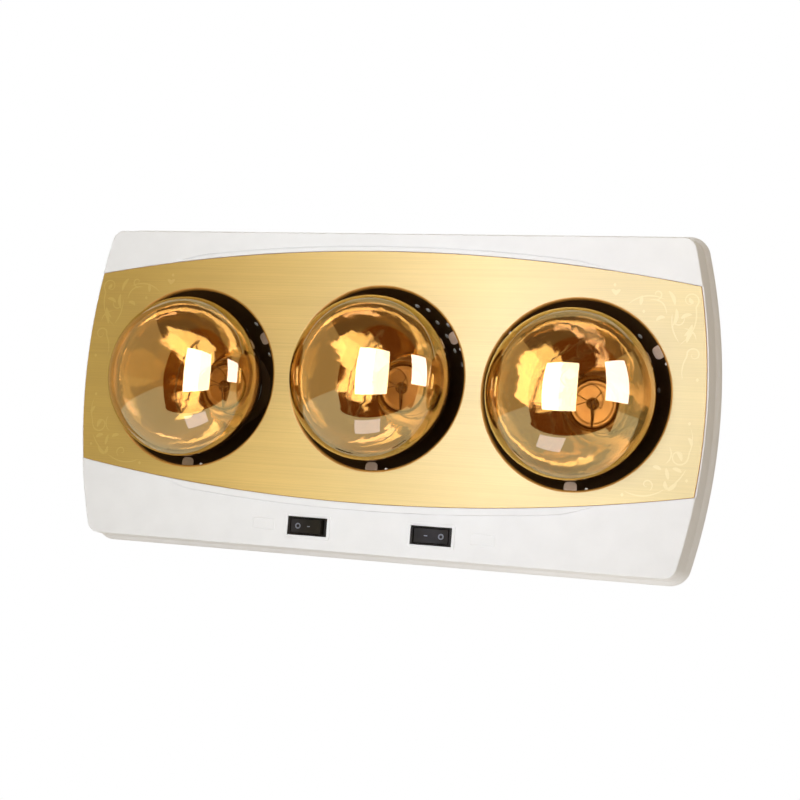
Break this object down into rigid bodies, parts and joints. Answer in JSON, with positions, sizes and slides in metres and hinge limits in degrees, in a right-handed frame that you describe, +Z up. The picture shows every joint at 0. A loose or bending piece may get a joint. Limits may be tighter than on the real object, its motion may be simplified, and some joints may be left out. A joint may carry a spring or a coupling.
{
  "type": "bathroom heat lamp",
  "caption": "Wall-hung bathroom heat lamp with reflector lamps behind a gold faceplate, a flared white cover, rocker switches and a vented rear housing.",
  "frame": {"origin": "on the wall plane, on the back face of the wall bracket, behind the axis height of the two outer lamps and midway between them", "axes": "+X to the right as one looks at the front, +Y from the lamp into the wall, +Z up; the lamps shine along -Y"},
  "size_m": [0.5078, 0.1784, 0.2522],
  "materials": {
    "white_plastic": "glossy white moulding",
    "gold_plate": "brushed, gold-coloured sheet",
    "black_enamel": "satin black",
    "bright_steel": "plain bright",
    "coated_steel": "satin powder coat",
    "amber_glass": "half-mirrored amber",
    "clear_glass": "clear",
    "tungsten": "dull grey",
    "brass": "plain",
    "porcelain": "glazed white",
    "black_plastic": "semi-gloss black",
    "brown_sleeve": "brown insulation",
    "blue_sleeve": "blue insulation",
    "green_sleeve": "green insulation"
  },
  "bodies": {
    "housing": {"front_cover": "white_plastic", "gold_faceplate": "gold_plate", "bowl_left": "black_enamel", "bowl_middle": "black_enamel", "bowl_right": "black_enamel", "bowl_ring_left": "bright_steel", "bowl_ring_middle": "bright_steel", "bowl_ring_right": "bright_steel", "lamp_glass_left": "amber_glass", "lamp_glass_middle": "amber_glass", "lamp_glass_right": "amber_glass", "lamp_stem_left": "clear_glass", "lamp_stem_middle": "clear_glass", "lamp_stem_right": "clear_glass", "lamp_filament_left": "tungsten", "lamp_filament_middle": "tungsten", "lamp_filament_right": "tungsten", "lamp_cap_left": "brass", "lamp_cap_middle": "brass", "lamp_cap_right": "brass", "lamp_contact_left": "brass", "lamp_contact_middle": "brass", "lamp_contact_right": "brass", "lampholder_left": "porcelain", "lampholder_middle": "porcelain", "lampholder_right": "porcelain", "holder_rail": "bright_steel", "rear_housing": "coated_steel", "wall_bracket": "bright_steel", "cover_screw_1": "bright_steel", "cover_screw_2": "bright_steel", "cover_screw_3": "bright_steel", "cover_screw_4": "bright_steel", "switch_body_left": "black_plastic", "switch_blade_left_middle": "brass", "switch_blade_left_pad": "brass", "switch_body_right": "black_plastic", "switch_blade_right_middle": "brass", "switch_blade_right_pad": "brass", "terminal_block": "porcelain", "cable_gland": "black_plastic", "thermal_cutout": "porcelain", "earth_screw": "brass", "supply_lead": "brown_sleeve", "live_lead": "brown_sleeve", "switch_link": "brown_sleeve", "lamp_lead_left": "brown_sleeve", "lamp_lead_right": "brown_sleeve", "live_link": "brown_sleeve", "neutral_lead": "blue_sleeve", "neutral_link_right": "blue_sleeve", "neutral_link_left": "blue_sleeve", "earth_lead": "green_sleeve"},
    "rocker_left": {"rocker_left": "black_plastic"},
    "rocker_right": {"rocker_right": "black_plastic"},
    "contact_lever_left": {"contact_lever_left": "brass"},
    "contact_lever_right": {"contact_lever_right": "brass"}
  },
  "joints": [
    {"name": "rocker_left_press", "type": "hinge", "parent": "housing", "child": "rocker_left", "pos_m": [-0.0456, -0.1211, -0.1092], "axis": [0, 0, 1], "range_deg": [0, 15]},
    {"name": "contact_lever_left_tip", "type": "hinge", "parent": "housing", "child": "contact_lever_left", "pos_m": [-0.0456, -0.1118, -0.1092], "axis": [0, 0, 1], "range_deg": [-15, 0]},
    {"name": "rocker_right_press", "type": "hinge", "parent": "housing", "child": "rocker_right", "pos_m": [0.053, -0.1211, -0.1092], "axis": [0, 0, -1], "range_deg": [0, 15]},
    {"name": "contact_lever_right_tip", "type": "hinge", "parent": "housing", "child": "contact_lever_right", "pos_m": [0.053, -0.1118, -0.1092], "axis": [0, 0, -1], "range_deg": [-15, 0]}
  ],
  "couplings": [
    {"joint": "contact_lever_left_tip", "follows": "rocker_left_press", "ratio": -1},
    {"joint": "contact_lever_right_tip", "follows": "rocker_right_press", "ratio": -1}
  ]
}
